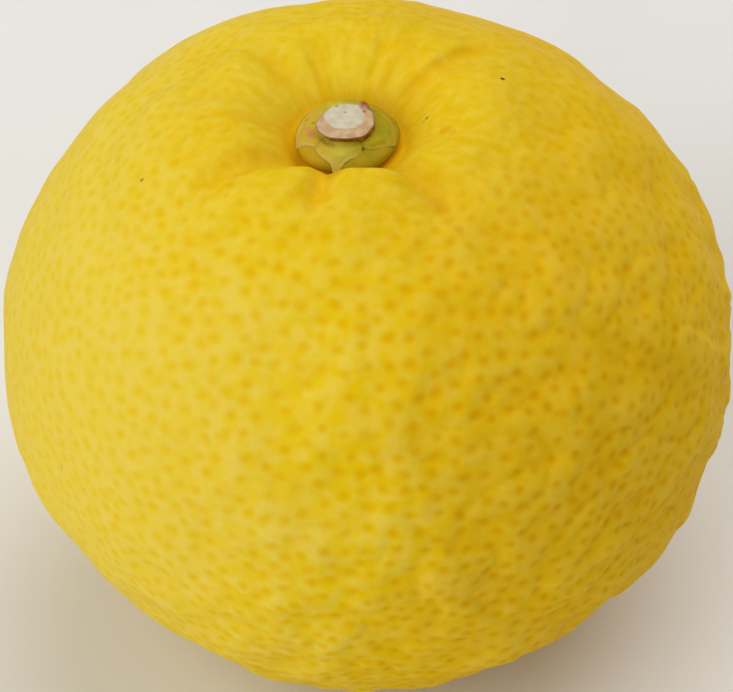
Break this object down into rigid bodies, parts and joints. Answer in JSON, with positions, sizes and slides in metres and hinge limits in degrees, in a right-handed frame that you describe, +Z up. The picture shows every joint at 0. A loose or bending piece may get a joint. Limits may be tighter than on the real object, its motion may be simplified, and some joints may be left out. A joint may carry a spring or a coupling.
{
  "type": "yuzu fruit",
  "caption": "Round, slightly flattened citrus fruit with a pitted rind. Its floral disc, calyx and cut stem stub lie in a dimple at the stem end.",
  "frame": {"origin": "middle of the flat spot that the fruit rests on, at the bottom of its box", "axes": "+Z up from the blossom end to the stem end, -Y to the side that the picture shows, +X to the picture's right"},
  "size_m": [0.0704, 0.0703, 0.0599],
  "materials": {
    "rind": "waxy citrus rind, semi-gloss, pitted",
    "green_disc": "olive green plant tissue, satin",
    "sepal": "drying sepal, matte, tan at its edges",
    "cut_stem": "pale cut wood in a ring of tan bark, matte"
  },
  "bodies": {
    "root": {"fruit": "rind", "floral_disc": "green_disc", "calyx": "sepal", "stem_stub": "cut_stem"}
  },
  "joints": []
}
